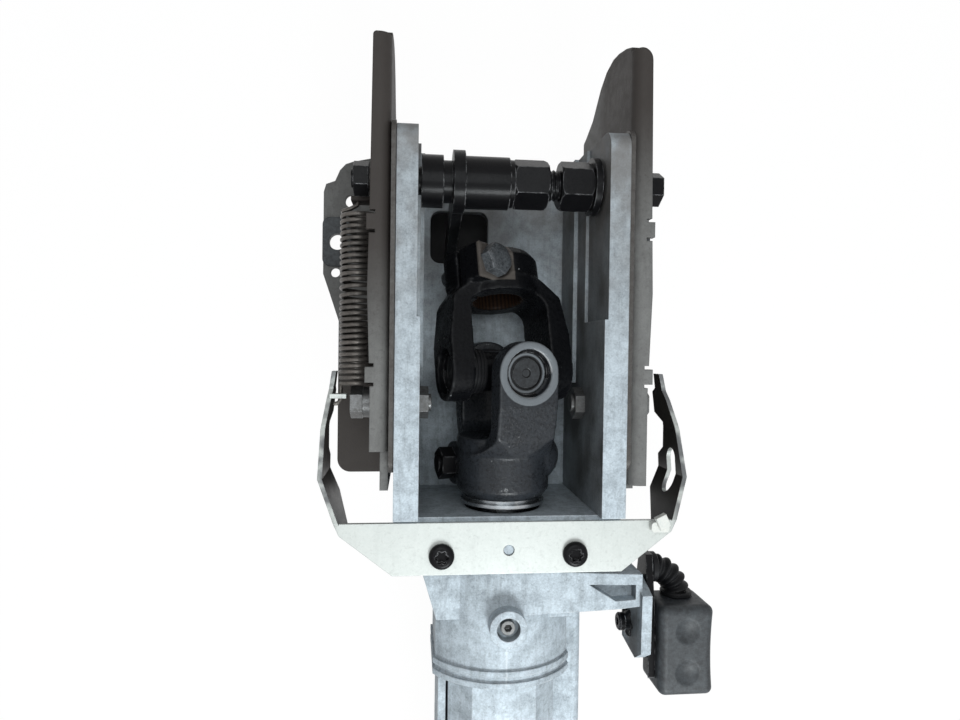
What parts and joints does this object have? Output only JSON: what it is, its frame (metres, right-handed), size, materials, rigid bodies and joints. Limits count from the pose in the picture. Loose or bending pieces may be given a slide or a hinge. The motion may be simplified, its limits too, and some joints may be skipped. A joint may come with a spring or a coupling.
{
  "type": "steering column",
  "caption": "Tilt and reach steering column: cast channel housing with an exposed universal joint, sheet side arms, clamp stud, release lever and telescoping jacket.",
  "frame": {"origin": "on the mounting face, on the plane of symmetry, midway between the upper and lower rows of mounting bolts", "axes": "+X to the right seen from the open side, +Y along the steering axis towards the steering gear, +Z out of the open side"},
  "size_m": [0.1817, 0.518, 0.0953],
  "materials": {
    "cast_aluminium": "as-cast, matte grey with fine grain",
    "arm_steel": "dull warm grey sheet",
    "zinc_plate": "pale yellowish zinc",
    "black_forging": "black painted forging, satin",
    "black_steel": "oiled black steel",
    "bright_steel": "ground steel",
    "fastener_steel": "dull zinc",
    "spring_wire": "dark drawn wire",
    "black_plastic": "fine matte grain",
    "white_plastic": "natural nylon"
  },
  "bodies": {
    "bracket": {"left_side_arm": "arm_steel", "right_side_arm": "arm_steel", "rear_cross_plate": "arm_steel", "cross_plate_rivets": "fastener_steel", "friction_plates": "bright_steel", "shear_capsules": "black_plastic", "pivot_bushes": "fastener_steel", "balance_spring": "spring_wire"},
    "housing": {"column_housing": "cast_aluminium", "guard_plate": "zinc_plate", "guard_screws": "black_steel", "cable_clip": "white_plastic", "pivot_bolts": "fastener_steel", "pivot_nuts": "fastener_steel", "clamp_stud": "black_steel", "plain_sleeve": "black_steel", "spacer_sleeve": "black_steel", "adjusting_nut": "black_steel", "lock_nut": "black_steel", "wall_washer": "black_steel", "slide_plates": "bright_steel", "stud_end_nuts": "black_steel", "lower_bearing_outer": "bright_steel", "lower_bearing_balls": "bright_steel", "bearing_circlip": "black_steel", "guide_screw": "black_steel", "lever_pin": "black_steel"},
    "lower_shaft": {"lower_shaft": "bright_steel", "lower_yoke": "black_forging", "lower_pinch_bolt": "black_steel", "lower_pinch_nut": "black_steel", "lower_bearing_inner": "bright_steel", "dust_washers": "bright_steel", "lower_cups": "bright_steel", "lower_circlips": "black_steel"},
    "joint_cross": {"joint_cross": "black_forging"},
    "upper_yoke": {"upper_yoke": "black_forging", "upper_pinch_bolt": "black_steel", "upper_cups": "bright_steel", "upper_circlips": "black_steel"},
    "jacket": {"inner_jacket": "cast_aluminium", "upper_bearing_outer": "bright_steel", "upper_bearing_balls": "bright_steel", "jacket_circlip": "black_steel"},
    "wheel_shaft": {"upper_shaft": "bright_steel", "upper_bearing_inner": "bright_steel"},
    "release_lever": {"release_lever": "black_steel", "lever_grip": "black_plastic", "lever_boot": "black_plastic"},
    "cam_lever": {"cam_lever": "black_steel"}
  },
  "joints": [
    {"name": "tilt", "type": "hinge", "parent": "bracket", "child": "housing", "pos_m": [0, -0.031, 0.057], "axis": [1, 0, 0], "range_deg": [-2.5, 2.5], "deforming": ["balance_spring"]},
    {"name": "shaft_spin", "type": "hinge", "parent": "housing", "child": "lower_shaft", "pos_m": [0, -0.016, 0.064], "axis": [0, 1, 0], "continuous": true},
    {"name": "cross_swing", "type": "hinge", "parent": "lower_shaft", "child": "joint_cross", "pos_m": [0, -0.016, 0.064], "axis": [0.2588, 0, 0.9659], "range_deg": [-4.5, 4.5]},
    {"name": "yoke_swing", "type": "hinge", "parent": "joint_cross", "child": "upper_yoke", "pos_m": [0, -0.016, 0.064], "axis": [0.9659, 0, -0.2588], "range_deg": [0, 22]},
    {"name": "reach", "type": "slide", "parent": "housing", "child": "jacket", "axis": [0, -1, 0], "range_m": [-0.016, 0.016]},
    {"name": "wheel_spin", "type": "hinge", "parent": "jacket", "child": "wheel_shaft", "pos_m": [0, -0.33, 0.064], "axis": [0, 1, 0], "continuous": true},
    {"name": "lever_turn", "type": "hinge", "parent": "housing", "child": "release_lever", "pos_m": [0.065, -0.131, 0.068], "axis": [1, 0, 0], "range_deg": [0, 24]},
    {"name": "cam_turn", "type": "hinge", "parent": "housing", "child": "cam_lever", "pos_m": [0, 0.066, 0.076], "axis": [1, 0, 0], "range_deg": [0, 12]}
  ],
  "couplings": [
    {"joint": "wheel_spin", "follows": "shaft_spin", "ratio": 1},
    {"joint": "cam_turn", "follows": "lever_turn", "ratio": 0.5}
  ]
}
